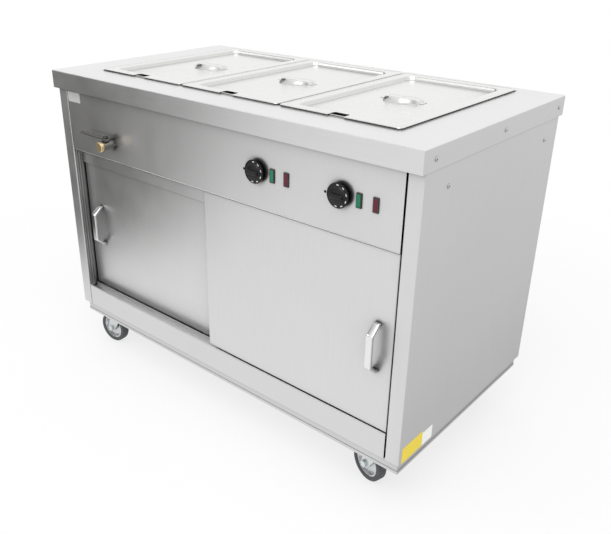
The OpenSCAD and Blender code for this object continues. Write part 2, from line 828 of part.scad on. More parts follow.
module door_glides(x0, y0, channel) {
    mid = y0 + door_t / 2;
    color("ivory") for (x = [x0 + glide_in, x0 + door_w - glide_in]) {
        block([x - glide_l / 2, mid - glide_w / 2, groove_z],
            [x + glide_l / 2, mid + glide_w / 2, door_z]);
        block([x - glide_l / 2, face_y + channel[0] + glide_gap, door_z + door_h],
            [x + glide_l / 2, face_y + channel[1] - glide_gap, door_z + door_h + 4]);
    }
}
module door_left_outer() door_outer(-infill_x, door_left_y);
module door_left_inner() door_inner(-infill_x, door_left_y);
module door_left_handle() door_handle(-infill_x + handle_left_in, door_left_y);
module door_left_glides()
    door_glides(-infill_x, door_left_y, [ridge_mid + body_t / 2, jamb_depth - body_t]);
module door_right_outer() door_outer(infill_x - door_w, door_right_y);
module door_right_inner() door_inner(infill_x - door_w, door_right_y);
module door_right_handle() door_handle(infill_x - handle_right_in, door_right_y);
module door_right_glides()
    door_glides(infill_x - door_w, door_right_y, [2 * body_t, ridge_mid - body_t / 2]);

// Pans: a flange round a tapered body with a round foot
pan_corner = 12;
module pan_form(inside) {
    w = pan_w - 2 * pan_flange - 2 * inside;
    l = pan_l - 2 * pan_flange - 2 * inside;
    h = pan_d - inside;
    levels = [[pan_t, 0], [pan_t + 14 - h, 5], [pan_t + 6 - h, 7], [pan_t + 2 - h, 10.5], [pan_t - h, 16]];
    hull() for (v = levels)
        translate([0, 0, v[0]]) linear_extrude(eps) round_rect(w - 2 * v[1], l - 2 * v[1], 28);
}
module pan(i) {
    color("silver") translate([pan_x(i), pans_mid_y, top_z]) difference() {
        union() {
            linear_extrude(pan_t) round_rect(pan_w, pan_l, pan_corner);
            pan_form(0);
        }
        translate([0, 0, 2 * eps]) pan_form(pan_t);
    }
}
module pan_left() pan(0);
module pan_middle() pan(1);
module pan_right() pan(2);

// Lids: a flat rim with its edge turned down, a sunk panel, a finger dimple under a strap, and a
// ladle notch at the front
lid_gap = 0.5;
panel_corner = 20;
dimple_depth = 17;
strap_rise = 6.5;
strap_foot = 8;
weld_gap = 0.05;
module frame_of(w, l, r, t) {
    difference() {
        round_rect(w, l, r);
        round_rect(w - 2 * t, l - 2 * t, r - t);
    }
}
module lid(i) {
    w = pan_w - 2 * lid_gap;
    l = pan_l - 2 * lid_gap;
    sunk_w = w - 2 * lid_rim;
    sunk_l = l - 2 * lid_rim;
    top = pan_t + lid_edge_h + lid_t;
    floor = top - lid_sink;
    dr = dimple_d / 2;
    color(steel) translate([pan_x(i), pans_mid_y, top_z]) {
        difference() {
            union() {
                translate([0, 0, pan_t]) linear_extrude(top - pan_t) frame_of(w, l, pan_corner, lid_t);
                translate([0, 0, top - lid_t]) linear_extrude(lid_t) difference() {
                    round_rect(w, l, pan_corner);
                    round_rect(sunk_w, sunk_l, panel_corner);
                }
            }
            translate([0, lid_gap - pan_l / 2, 0]) {
                block([-notch_w / 2, -1, pan_t - 1], [notch_w / 2, notch_l - 12, top + 1]);
                translate([0, 0, pan_t - 1]) linear_extrude(top) translate([0, -40 + notch_l])
                    round_rect(notch_w, 80, 12);
            }
        }
        translate([0, 0, floor - lid_t]) linear_extrude(lid_sink + lid_t)
            frame_of(sunk_w + 2 * lid_t, sunk_l + 2 * lid_t, panel_corner + lid_t, lid_t);
        translate([0, 0, floor - lid_t]) linear_extrude(lid_t) difference() {
            round_rect(sunk_w + lid_t, sunk_l + lid_t, panel_corner);
            circle(dr - 0.2);
        }
        translate([0, 0, floor - lid_t / 2]) rotate_extrude() {
            folded([[dr + 1, 0], [dr - 5, 0], [dr - 17, -dimple_depth], [8, -dimple_depth]], lid_t, 5);
            translate([0, -dimple_depth - lid_t / 2]) square([9, lid_t]);
        }
        rotate([90, 0, 0]) translate([0, floor, -strap_w / 2]) linear_extrude(strap_w) {
            low = lid_t / 2 + weld_gap;
            folded([[-dr - 1 - strap_foot, low], [-dr - 1, low], [6 - dr, strap_rise],
                [dr - 6, strap_rise], [dr + 1, low], [dr + 1 + strap_foot, low]], lid_t, 2);
        }
    }
}
module lid_left() lid(0);
module lid_middle() lid(1);
module lid_right() lid(2);

// Castors: plate and kingpin, fork, axle, hub and tyre; the fork trails towards -X before it is turned
castor_turns = [[6.6, 12], [-15.4, -8]];
plate_t = 3;
race_h = 7;
race_d = 56;
kingpin_d = 12;
rivet_h = 4;
deck_t = 3;
deck_d = 62;
deck_z = castor_h - plate_t - race_h - face_clear;
fork_gap = tread_w + 5;
axle_z = wheel_d / 2;
leg_foot_r = 13;
leg_front = -26;
leg_back = 22;
bolt_in = 9;
bolt_d = 15;
bolt_h = 5.5;
nut_d = axle_d * 1.9;
function castor_at(c, r) = [(2 * c - 1) * castor_x, mid_y + (2 * r - 1) * castor_y];
module at_castor(c, r) {
    translate([castor_at(c, r)[0], castor_at(c, r)[1], 0]) rotate([0, 0, castor_turns[c][r]])
        children();
}
module at_axle() {
    translate([-trail, 0, axle_z]) rotate([-90, 0, 0]) children();
}
module castor_plates() {
    w = castor_plate_w / 2;
    l = castor_plate_l / 2;
    color("lightgray") for (c = [0, 1], r = [0, 1])
        translate([castor_at(c, r)[0], castor_at(c, r)[1], castor_h]) {
            block([-w, -l, -plate_t], [w, l, 0]);
            for (x = [-1, 1], y = [-1, 1])
                translate([x * (w - bolt_in), y * (l - bolt_in), -plate_t - bolt_h])
                    cylinder(d = bolt_d, h = bolt_h + eps, $fn = 6);
            translate([0, 0, -plate_t - race_h]) cylinder(d1 = race_d - 8, d2 = race_d, h = race_h + eps);
            translate([0, 0, -plate_t - race_h - 2 * face_clear - deck_t - eps])
                cylinder(d = kingpin_d, h = race_h);
            translate([0, 0, -plate_t - race_h - 2 * face_clear - deck_t - rivet_h])
                cylinder(d1 = kingpin_d, d2 = kingpin_d + 8, h = rivet_h);
        }
}
function tangent(p, c, r, s) = c + r * turn(unit(p - c), s * acos(r / norm(p - c)));
module fork(c, r) {
    top = deck_z - deck_t / 2;
    low = [-trail, axle_z];
    front = [leg_front, top];
    back = [leg_back, top];
    color("lightgray") at_castor(c, r) difference() {
        union() {
            translate([0, 0, deck_z - deck_t]) cylinder(d = deck_d, h = deck_t);
            for (s = [-1, 1])
                translate([0, s * (fork_gap + leg_t) / 2 + leg_t / 2, 0]) rotate([90, 0, 0])
                    linear_extrude(leg_t) {
                        polygon([back, front, tangent(front, low, leg_foot_r, 1), low,
                            tangent(back, low, leg_foot_r, -1)]);
                        translate(low) circle(leg_foot_r);
                    }
        }
        translate([0, 0, deck_z - deck_t - 1])
            cylinder(d = kingpin_d + 2 * run_gap, h = deck_t + 2);
        at_axle() translate([0, 0, -fork_gap])
            cylinder(d = axle_d + 2 * run_gap, h = 2 * fork_gap);
    }
}
module axle(c, r) {
    out = fork_gap / 2 + leg_t;
    color("silver") at_castor(c, r) at_axle() {
        translate([0, 0, -out - 5]) cylinder(d = axle_d, h = 2 * out + 14);
        translate([0, 0, -out - 6]) cylinder(d = nut_d, h = 6, $fn = 6);
        translate([0, 0, out]) cylinder(d = nut_d, h = 7, $fn = 6);
    }
}
tyre_h = 12;
module hub(c, r) {
    bore = axle_d / 2 + run_gap;
    rim = wheel_d / 2 - tyre_h;
    half = fork_gap / 2 - face_clear;
    color("gainsboro") at_castor(c, r) at_axle() rotate_extrude() polygon([
        [bore, -half], [bore + 6, -half], [bore + 8, -5], [rim - 7, -3], [rim - 4, -tread_w / 2 + 2],
        [rim, -tread_w / 2 + 2], [rim, tread_w / 2 - 2], [rim - 4, tread_w / 2 - 2], [rim - 7, 3],
        [bore + 8, 5], [bore + 6, half], [bore, half]]);
}
module tyre(c, r) {
    out = wheel_d / 2;
    rim = out - tyre_h;
    edge = 4;
    color([0.35, 0.35, 0.36]) at_castor(c, r) at_axle() rotate_extrude() {
        translate([rim, -tread_w / 2]) square([tyre_h - edge, tread_w]);
        translate([rim, edge - tread_w / 2]) square([tyre_h, tread_w - 2 * edge]);
        for (s = [-1, 1]) translate([out - edge, s * (tread_w / 2 - edge)]) circle(edge);
    }
}
module fork_front_left() fork(0, 0);
module fork_front_right() fork(1, 0);
module fork_back_left() fork(0, 1);
module fork_back_right() fork(1, 1);
module axle_front_left() axle(0, 0);
module axle_front_right() axle(1, 0);
module axle_back_left() axle(0, 1);
module axle_back_right() axle(1, 1);
module hub_front_left() hub(0, 0);
module hub_front_right() hub(1, 0);
module hub_back_left() hub(0, 1);
module hub_back_right() hub(1, 1);
module tyre_front_left() tyre(0, 0);
module tyre_front_right() tyre(1, 0);
module tyre_back_left() tyre(0, 1);
module tyre_back_right() tyre(1, 1);

worktop();
side_panel_left();
side_panel_right();
back_panel();
base_tray();
castor_channels();
bottom_rail();
control_fascia();
top_track();
well_tank();
pan_bars();
cupboard_ceiling();
cupboard_floor();
inner_liner();
shelves();
well_element();
cupboard_element();
thermostats();
lamp_bodies();
lamp_lenses_green();
lamp_lenses_red();
drain_pipe();
tap_body();
tap_cap();
cable_gland();
castor_plates();
panel_screws();
door_left_outer();
door_left_inner();
door_left_handle();
door_left_glides();
door_right_outer();
door_right_inner();
door_right_handle();
door_right_glides();
knob_left();
knob_right();
tap_lever();
pan_left();
pan_middle();
pan_right();
lid_left();
lid_middle();
lid_right();
fork_front_left();
fork_front_right();
fork_back_left();
fork_back_right();
axle_front_left();
axle_front_right();
axle_back_left();
axle_back_right();
hub_front_left();
hub_front_right();
hub_back_left();
hub_back_right();
tyre_front_left();
tyre_front_right();
tyre_back_left();
tyre_back_right();
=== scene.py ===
import math

import bmesh
import bpy
from mathutils import Matrix, Vector


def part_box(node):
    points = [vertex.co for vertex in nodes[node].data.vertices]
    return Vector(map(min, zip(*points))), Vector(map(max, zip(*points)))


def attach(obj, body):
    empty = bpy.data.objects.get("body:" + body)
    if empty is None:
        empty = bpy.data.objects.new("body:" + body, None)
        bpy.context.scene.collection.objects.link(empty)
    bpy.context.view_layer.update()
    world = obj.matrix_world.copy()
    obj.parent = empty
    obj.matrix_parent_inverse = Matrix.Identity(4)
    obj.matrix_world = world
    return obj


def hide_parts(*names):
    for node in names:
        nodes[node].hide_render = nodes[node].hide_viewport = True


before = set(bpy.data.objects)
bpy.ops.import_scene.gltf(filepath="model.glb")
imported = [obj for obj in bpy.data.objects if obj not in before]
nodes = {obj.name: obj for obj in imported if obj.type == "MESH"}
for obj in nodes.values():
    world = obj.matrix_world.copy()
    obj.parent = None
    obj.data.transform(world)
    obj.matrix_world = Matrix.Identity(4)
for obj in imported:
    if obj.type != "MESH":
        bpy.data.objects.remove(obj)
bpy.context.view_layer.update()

# Camera: a portrait lens at chest height, ahead of the right-hand corner and looking down across
# the front. Its place and angles were fitted to the edges of the worktop, pans and doors.
CAMERA_AT = (1.22615, -1.42056, 1.24284)
CAMERA_TURN = -0.719
CAMERA_DOWN = 0.430
CAMERA_ROLL = 0.006
PHOTO_W = 611
PHOTO_H = 534
FOCAL_PX = 713.45
CENTRE_PX = (281.19, 257.95)

look = Vector((
    math.sin(CAMERA_TURN) * math.cos(CAMERA_DOWN),
    math.cos(CAMERA_TURN) * math.cos(CAMERA_DOWN),
    -math.sin(CAMERA_DOWN)))
level = look.cross(Vector((0, 0, 1))).normalized()
upright = level.cross(look)
side = level * math.cos(CAMERA_ROLL) + upright * math.sin(CAMERA_ROLL)
head = upright * math.cos(CAMERA_ROLL) - level * math.sin(CAMERA_ROLL)
camera_data = bpy.data.cameras.new("photo_camera")
camera_data.sensor_width = 36
camera_data.lens = FOCAL_PX * camera_data.sensor_width / PHOTO_W
camera_data.shift_x = (PHOTO_W / 2 - CENTRE_PX[0]) / PHOTO_W
camera_data.shift_y = (CENTRE_PX[1] - PHOTO_H / 2) / PHOTO_W
camera_data.clip_start = 0.05
camera = bpy.data.objects.new("photo_camera", camera_data)
bpy.context.collection.objects.link(camera)
facing = Matrix((side, head, -look)).transposed().to_4x4()
camera.matrix_world = Matrix.Translation(CAMERA_AT) @ facing
bpy.context.scene.camera = camera
bpy.context.scene.view_settings.view_transform = "Standard"


# Studio: a white sweep with one broad overhead light and a fill. In reflections the floor is pale in
# front, greyer on the right, and dark towards the far left, where the studio is not lit.
FLOOR_HALF = 9.0
FLOOR_PALE = (0.93, 0.93, 0.93, 1)
MIRROR_FRONT = (0.89, 0.89, 0.89, 1)
MIRROR_RIGHT_NEAR = (0.54, 0.54, 0.54, 1)
MIRROR_RIGHT = (0.68, 0.68, 0.68, 1)
MIRROR_FAR_LEFT = (0.082, 0.080, 0.075, 1)
FAR_LEFT_DIRECTION = (-1, 0.96, 0)
DARK_SIDE_EDGE = (-0.30, 0.30)
DARK_BEYOND = (1.1, 1.8)
DARK_BAND_X = (0.3, -0.5)
DARK_BAND_Y = (0.2, -0.6)
RIGHT_BAND_X = (0.5, 0.62)
RIGHT_FAR_X = (0.65, 1.1)
SHADOW_NEAR = 0.8
SHADOW_GONE = 2.0
SHADOW_LIFT = 0.72
ROOM_SIDE_X = (-0.2, -0.9)
ROOM_FRONT_Y = (0.1, -0.4)
AMBIENT = (0.80, 0.80, 0.80, 1)
ROOM_BRIGHT = (1.0, 1.0, 1.0, 1)
ROOM_DIM = (0.12, 0.12, 0.12, 1)


def put(tree, kind, **settings):
    """Add a node to a tree and set its properties."""
    node = tree.nodes.new(kind)
    for key, value in settings.items():
        setattr(node, key, value)
    return node


def fade(tree, source, start, end):
    """A smooth 0 to 1 value between two levels of a source socket."""
    node = put(tree, "ShaderNodeMapRange", interpolation_type="SMOOTHSTEP")
    node.inputs["From Min"].default_value = start
    node.inputs["From Max"].default_value = end
    tree.links.new(source, node.inputs["Value"])
    return node.outputs["Result"]


def times(tree, first, second):
    """The product of two value sockets."""
    node = put(tree, "ShaderNodeMath", operation="MULTIPLY")
    tree.links.new(first, node.inputs[0])
    tree.links.new(second, node.inputs[1])
    return node.outputs["Value"]


def blend_colours(tree, factor, first, second):
    """Mix two colours, each a socket or a plain colour."""
    node = put(tree, "ShaderNodeMix", data_type="RGBA")
    tree.links.new(factor, node.inputs["Factor"])
    for key, value in (("A", first), ("B", second)):
        if isinstance(value, tuple):
            node.inputs[key].default_value = value
        else:
            tree.links.new(value, node.inputs[key])
    return node.outputs["Result"]


def loose_object(name, bm):
    """Make an object of a finished bmesh and put it in the scene."""
    mesh = bpy.data.meshes.new(name)
    bm.to_mesh(mesh)
    bm.free()
    made = bpy.data.objects.new(name, mesh)
    bpy.context.collection.objects.link(made)
    return made


bm = bmesh.new()
bmesh.ops.create_grid(bm, x_segments=1, y_segments=1, size=FLOOR_HALF)
floor = loose_object("studio_floor", bm)
floor_look = bpy.data.materials.new("studio_floor")
floor_look.use_nodes = True
tree = floor_look.node_tree
tree.nodes.clear()
links = tree.links
coords = put(tree, "ShaderNodeTexCoord")
distance = put(tree, "ShaderNodeVectorMath", operation="LENGTH")
left_dot = put(tree, "ShaderNodeVectorMath", operation="DOT_PRODUCT")
left_dot.inputs[1].default_value = FAR_LEFT_DIRECTION
place = put(tree, "ShaderNodeSeparateXYZ")
for node in (distance, left_dot, place):
    links.new(coords.outputs["Object"], node.inputs[0])
far_left = times(tree, fade(tree, left_dot.outputs["Value"], *DARK_SIDE_EDGE),
                 fade(tree, distance.outputs["Value"], *DARK_BEYOND))
far_left = times(tree, far_left, fade(tree, place.outputs["X"], *DARK_BAND_X))
far_left = times(tree, far_left, fade(tree, place.outputs["Y"], *DARK_BAND_Y))
right_side = blend_colours(tree, fade(tree, place.outputs["X"], *RIGHT_FAR_X),
                           MIRROR_RIGHT_NEAR, MIRROR_RIGHT)
front_side = blend_colours(tree, far_left, MIRROR_FRONT, MIRROR_FAR_LEFT)
mirrored = put(tree, "ShaderNodeEmission")
all_round = blend_colours(tree, fade(tree, place.outputs["X"], *RIGHT_BAND_X),
                          front_side, right_side)
links.new(all_round, mirrored.inputs["Color"])
paths = put(tree, "ShaderNodeLightPath")
matt = put(tree, "ShaderNodeBsdfDiffuse")
matt.inputs["Color"].default_value = FLOOR_PALE
white = put(tree, "ShaderNodeEmission")
lift = put(tree, "ShaderNodeMapRange")
lift.inputs["From Min"].default_value = SHADOW_NEAR
lift.inputs["From Max"].default_value = SHADOW_GONE
lift.inputs["To Min"].default_value = SHADOW_LIFT
links.new(distance.outputs["Value"], lift.inputs["Value"])
seen = put(tree, "ShaderNodeMixShader")
shown = put(tree, "ShaderNodeMixShader")
floor_out = put(tree, "ShaderNodeOutputMaterial")
links.new(times(tree, paths.outputs["Is Camera Ray"], lift.outputs["Result"]), seen.inputs["Fac"])
links.new(matt.outputs["BSDF"], seen.inputs[1])
links.new(white.outputs["Emission"], seen.inputs[2])
links.new(paths.outputs["Is Glossy Ray"], shown.inputs["Fac"])
links.new(seen.outputs["Shader"], shown.inputs[1])
links.new(mirrored.outputs["Emission"], shown.inputs[2])
links.new(shown.outputs["Shader"], floor_out.inputs["Surface"])
floor.data.materials.append(floor_look)

world = bpy.data.worlds.new("studio")
bpy.context.scene.world = world
world.use_nodes = True
tree = world.node_tree
tree.nodes.clear()
links = tree.links
coords = put(tree, "ShaderNodeTexCoord")
place = put(tree, "ShaderNodeSeparateXYZ")
links.new(coords.outputs["Generated"], place.inputs["Vector"])
front_left = times(tree, fade(tree, place.outputs["X"], *ROOM_SIDE_X),
                   fade(tree, place.outputs["Y"], *ROOM_FRONT_Y))
paths = put(tree, "ShaderNodeLightPath")
room = blend_colours(tree, front_left, ROOM_BRIGHT, ROOM_DIM)
lit = blend_colours(tree, paths.outputs["Is Glossy Ray"], AMBIENT, room)
sky = put(tree, "ShaderNodeBackground")
world_out = put(tree, "ShaderNodeOutputWorld")
links.new(blend_colours(tree, paths.outputs["Is Camera Ray"], lit, (1.0, 1.0, 1.0, 1)),
          sky.inputs["Color"])
links.new(sky.outputs["Background"], world_out.inputs["Surface"])


def studio_light(name, at, aim, size, watts):
    """A square soft light that faces a point."""
    data = bpy.data.lights.new(name, "AREA")
    data.size = size
    data.energy = watts
    lamp = bpy.data.objects.new(name, data)
    bpy.context.collection.objects.link(lamp)
    lamp.location = at
    lamp.rotation_euler = (Vector(aim) - Vector(at)).to_track_quat("-Z", "Y").to_euler()


studio_light("overhead_light", (0.9, -1.6, 3.2), (0, 0, 0.6), 2.4, 42)
studio_light("fill_light", (-2.2, -2.4, 2.0), (0, 0, 0.5), 1.8, 12)


# Cabinet: folded and spot-welded stainless sheet with a fine polished grain that runs up the sides
# and front, and along the flat tops. Handling leaves faint clouds and wipe marks on it.
def grain_group():
    """Grain lines, clouds and wipe marks of polished sheet, from a stretched and a plain position."""
    group = bpy.data.node_groups.new("sheet_grain", "ShaderNodeTree")
    for name, kind, value in (
            ("Colour", "NodeSocketColor", (0.8, 0.8, 0.8, 1)),
            ("Grain place", "NodeSocketVector", None), ("Cloud place", "NodeSocketVector", None),
            ("Grain", "NodeSocketFloat", 0.06), ("Clouds", "NodeSocketFloat", 0.08),
            ("Roughness", "NodeSocketFloat", 0.3)):
        socket = group.interface.new_socket(name=name, in_out="INPUT", socket_type=kind)
        if value is not None:
            socket.default_value = value
    for name, kind in (("Colour", "NodeSocketColor"), ("Roughness", "NodeSocketFloat"),
                       ("Height", "NodeSocketFloat")):
        group.interface.new_socket(name=name, in_out="OUTPUT", socket_type=kind)
    given = put(group, "NodeGroupInput")
    result = put(group, "NodeGroupOutput")
    lines = put(group, "ShaderNodeTexNoise")
    lines.inputs["Scale"].default_value = 1.0
    lines.inputs["Detail"].default_value = 3.0
    clouds = put(group, "ShaderNodeTexNoise")
    clouds.inputs["Scale"].default_value = 2.6
    clouds.inputs["Detail"].default_value = 2.5
    wipes = put(group, "ShaderNodeTexNoise")
    wipes.inputs["Scale"].default_value = 17.0
    wipes.inputs["Detail"].default_value = 4.0
    join = group.links.new
    join(given.outputs["Grain place"], lines.inputs["Vector"])
    join(given.outputs["Cloud place"], clouds.inputs["Vector"])
    join(given.outputs["Cloud place"], wipes.inputs["Vector"])

    def swing(source, amount):
        """A noise value moved to lie evenly about zero, times an amount."""
        shifted = put(group, "ShaderNodeMath", operation="SUBTRACT")
        shifted.inputs[1].default_value = 0.5
        scaled = put(group, "ShaderNodeMath", operation="MULTIPLY")
        join(source, shifted.inputs[0])
        join(shifted.outputs["Value"], scaled.inputs[0])
        if isinstance(amount, float):
            scaled.inputs[1].default_value = amount
        else:
            join(amount, scaled.inputs[1])
        return scaled.outputs["Value"]

    def total(*sources):
        """The sum of value sockets and plain numbers."""
        value = sources[0]
        for other in sources[1:]:
            added = put(group, "ShaderNodeMath", operation="ADD")
            join(value, added.inputs[0])
            if isinstance(other, float):
                added.inputs[1].default_value = other
            else:
                join(other, added.inputs[1])
            value = added.outputs["Value"]
        return value

    tone = total(swing(lines.outputs["Fac"], given.outputs["Grain"]),
                 swing(clouds.outputs["Fac"], given.outputs["Clouds"]), 1.0)
    toned = put(group, "ShaderNodeVectorMath", operation="SCALE")
    join(given.outputs["Colour"], toned.inputs[0])
    join(tone, toned.inputs["Scale"])
    join(toned.outputs["Vector"], result.inputs["Colour"])
    rough = total(given.outputs["Roughness"], swing(wipes.outputs["Fac"], 0.10),
                  swing(clouds.outputs["Fac"], 0.12), swing(lines.outputs["Fac"], 0.10))
    join(rough, result.inputs["Roughness"])
    join(lines.outputs["Fac"], result.inputs["Height"])
    return group


SHEET_GRAIN = grain_group()
# Painted shade in gaps and corners, for a near and a far reach: reach, occlusion where darkest,
# occlusion where it ends, darkest factor.
NEAR_SHADE = (0.014, 0.25, 0.90, 0.22)
FAR_SHADE = (0.10, 0.40, 0.97, 0.52)


def corner_group():
    """Shared painted shade: a factor below 1 in gaps and in inner corners, where shade falls."""
    group = bpy.data.node_groups.new("corner_shade", "ShaderNodeTree")
    group.interface.new_socket("Open", in_out="OUTPUT", socket_type="NodeSocketFloat")
    result = put(group, "NodeGroupOutput")
    parts = []
    for reach, closed, opened, darkest in (NEAR_SHADE, FAR_SHADE):
        cover = put(group, "ShaderNodeAmbientOcclusion", samples=6)
        cover.inputs["Distance"].default_value = reach
        level = put(group, "ShaderNodeMapRange")
        level.inputs["From Min"].default_value = closed
        level.inputs["From Max"].default_value = opened
        level.inputs["To Min"].default_value = darkest
        group.links.new(cover.outputs["AO"], level.inputs["Value"])
        parts.append(level.outputs["Result"])
    group.links.new(times(group, *parts), result.inputs["Open"])
    return group


CORNER_SHADE = corner_group()
GRAIN_FINE = 900.0
GRAIN_LONG = 9.0
GRAIN_UP = (GRAIN_FINE, GRAIN_FINE, GRAIN_LONG)
GRAIN_ALONG = (GRAIN_LONG, GRAIN_FINE, GRAIN_FINE)
GRAIN_DEEP = (GRAIN_FINE, GRAIN_LONG, GRAIN_FINE)


def stainless(name, colour, grain_scale, roughness, grain=0.10, clouds=0.08, depth=0.12, shade=1.0):
    """Polished stainless sheet whose grain runs along the shortest axis of grain_scale."""
    material = bpy.data.materials.new(name)
    material.use_nodes = True
    tree = material.node_tree
    shader = tree.nodes["Principled BSDF"]
    coords = put(tree, "ShaderNodeTexCoord")
    stretch = put(tree, "ShaderNodeMapping")
    stretch.inputs["Scale"].default_value = grain_scale
    group = put(tree, "ShaderNodeGroup", node_tree=SHEET_GRAIN)
    group.inputs["Colour"].default_value = (*colour, 1)
    group.inputs["Grain"].default_value = grain
    group.inputs["Clouds"].default_value = clouds
    group.inputs["Roughness"].default_value = roughness
    bump = put(tree, "ShaderNodeBump")
    bump.inputs["Strength"].default_value = depth
    bump.inputs["Distance"].default_value = 0.00005
    join = tree.links.new
    join(coords.outputs["Object"], stretch.inputs["Vector"])
    join(stretch.outputs["Vector"], group.inputs["Grain place"])
    join(coords.outputs["Object"], group.inputs["Cloud place"])
    # Painted shade: the colour is scaled down in gaps and inner corners by the corner_shade group, by
    # the amount given as shade.
    corners = put(tree, "ShaderNodeGroup", node_tree=CORNER_SHADE)
    shaded = put(tree, "ShaderNodeVectorMath", operation="SCALE")
    join(group.outputs["Colour"], shaded.inputs[0])
    eased = put(tree, "ShaderNodeMath", operation="MULTIPLY_ADD")
    eased.inputs[1].default_value = shade
    eased.inputs[2].default_value = 1 - shade
    join(corners.outputs["Open"], eased.inputs[0])
    join(eased.outputs["Value"], shaded.inputs["Scale"])
    join(shaded.outputs["Vector"], shader.inputs["Base Color"])
    join(group.outputs["Roughness"], shader.inputs["Roughness"])
    join(group.outputs["Height"], bump.inputs["Height"])
    join(bump.outputs["Normal"], shader.inputs["Normal"])
    shader.inputs["Metallic"].default_value = 1.0
    return material


def finish_node(material, *names):
    """Give CAD nodes a material in all their slots."""
    for name in names:
        node = nodes[name]
        for slot in node.material_slots:
            slot.material = material


panel_steel = stainless("panel_steel", (0.78, 0.78, 0.78), GRAIN_UP, 0.34)
side_steel = stainless("side_steel", (0.80, 0.80, 0.80), GRAIN_UP, 0.38)
rail_steel = stainless("rail_steel", (0.78, 0.78, 0.78), GRAIN_ALONG, 0.34, shade=0.35)
tray_steel = stainless("tray_steel", (0.74, 0.74, 0.74), GRAIN_ALONG, 0.36)
finish_node(panel_steel, "control_fascia", "back_panel")
finish_node(side_steel, "side_panel_left", "side_panel_right")
finish_node(rail_steel, "bottom_rail", "top_track")
finish_node(tray_steel, "base_tray")


# Cupboard lining: the liner, shelves, floor, ceiling and castor channels are mill-finish sheet,
# duller than the outside and never polished.
lining_steel = stainless("lining_steel", (0.66, 0.66, 0.65), GRAIN_UP, 0.46, clouds=0.14)
finish_node(lining_steel, "inner_liner", "shelves", "cupboard_floor", "cupboard_ceiling",
            "castor_channels", "door_left_inner", "door_right_inner")


# Worktop: one stainless sheet folded down on four sides and cut out for the well. Its grain runs
# along the top, and it is polished brighter than the cabinet.
worktop_steel = stainless("worktop_steel", (0.82, 0.82, 0.82), GRAIN_ALONG, 0.33)
finish_node(worktop_steel, "worktop")


# Well and pans: a deep-drawn stainless bath with water marks, and three deep-drawn pans with a soft
# satin skin that hang in it by their flanges.
well_steel = stainless("well_steel", (0.64, 0.64, 0.63), GRAIN_DEEP, 0.42, clouds=0.18)
pan_steel = stainless("pan_steel", (0.80, 0.80, 0.79), GRAIN_DEEP, 0.30)
finish_node(well_steel, "well_tank", "pan_bars")
finish_node(pan_steel, "pan_left", "pan_middle", "pan_right")


# Lids: pressed from one sheet, with soft edges round a sunk panel and a finger dimple. A strap is
# spot-welded across the dimple, and a notch at the front lets a ladle stay in the pan.
LID_SHEET = 0.0009
LID_CORNER = 0.012
PANEL_CORNER = 0.022
RING_STEPS = 64
DIMPLE_R = 0.049
LID_GAP = 0.0024
PANEL_DEPTH = 0.0100
STRAP_W = 0.022
STRAP_RISE = 0.0065
NOTCH_W = 0.042
NOTCH_L = 0.028
NOTCH_ROUND = 0.011
NOTCH_CUT_H = 0.03
BEAD_IN = 0.006


def ring(bm, width, length, radius, z):
    """A rounded rectangle of vertices and edges about the Z axis, at height z."""
    made = bmesh.ops.create_circle(bm, segments=RING_STEPS, radius=radius)["verts"]
    bmesh.ops.rotate(bm, verts=made, matrix=Matrix.Rotation(math.pi / RING_STEPS, 3, "Z"))
    for vert in made:
        vert.co.x += math.copysign(width / 2 - radius, vert.co.x)
        vert.co.y += math.copysign(length / 2 - radius, vert.co.y)
        vert.co.z = z
    return list({edge for vert in made for edge in vert.link_edges})


def loft(bm, rings):
    """Skin between one ring and the next."""
    for first, second in zip(rings, rings[1:]):
        bmesh.ops.bridge_loops(bm, edges=first + second)


def crease_by_angle(bm, degrees=35):
    """Smooth shading with hard edges where faces meet sharply."""
    bmesh.ops.recalc_face_normals(bm, faces=bm.faces)
    for face in bm.faces:
        face.smooth = True
    for edge in bm.edges:
        if len(edge.link_faces) == 2:
            edge.smooth = edge.calc_face_angle(0) < math.radians(degrees)


def new_piece(name, bm, material, body):
    """Make an object of a finished bmesh, with its place in the mesh, that rides on a body."""
    piece = loose_object(name, bm)
    piece.data.materials.append(material)
    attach(piece, body)
    return piece


def settle_modifiers(piece):
    """Apply a piece's modifiers to its mesh."""
    graph = bpy.context.evaluated_depsgraph_get()
    mesh = bpy.data.meshes.new_from_object(piece.evaluated_get(graph))
    piece.modifiers.clear()
    piece.data = mesh


def thicken(piece, thickness, offset=-1):
    """Give a skin its thickness: offset -1 grows it inwards and 0 to both sides."""
    wall = piece.modifiers.new("sheet", "SOLIDIFY")
    wall.thickness = thickness
    wall.offset = offset
    return wall


def cut_out(piece, cutter, crossing=False):
    """Cut a loose object's form out of a piece, then remove the cutter."""
    cut = piece.modifiers.new("cut_out", "BOOLEAN")
    cut.operation = "DIFFERENCE"
    cut.object = cutter
    cut.solver = "EXACT"
    cut.use_self = crossing
    settle_modifiers(piece)
    bpy.data.objects.remove(cutter)


def block(bm, size, at=(0, 0, 0)):
    """A box of vertices, by its size and its middle."""
    made = bmesh.ops.create_cube(bm, size=1)["verts"]
    bmesh.ops.scale(bm, vec=size, verts=made)
    bmesh.ops.translate(bm, vec=at, verts=made)
    return made


def round_edges(bm, edges, radius, segments):
    """Round off some edges."""
    bmesh.ops.bevel(bm, geom=edges, offset=radius, segments=segments, profile=0.5, affect="EDGES",
                    material=-1)


def band(bm, points, across):
    """Join points in a row and pull the row sideways into a band."""
    row = [bm.verts.new(point) for point in points]
    edges = [bm.edges.new(pair) for pair in zip(row, row[1:])]
    grown = bmesh.ops.extrude_edge_only(bm, edges=edges)["geom"]
    moved = [item for item in grown if isinstance(item, bmesh.types.BMVert)]
    bmesh.ops.translate(bm, verts=moved, vec=across)


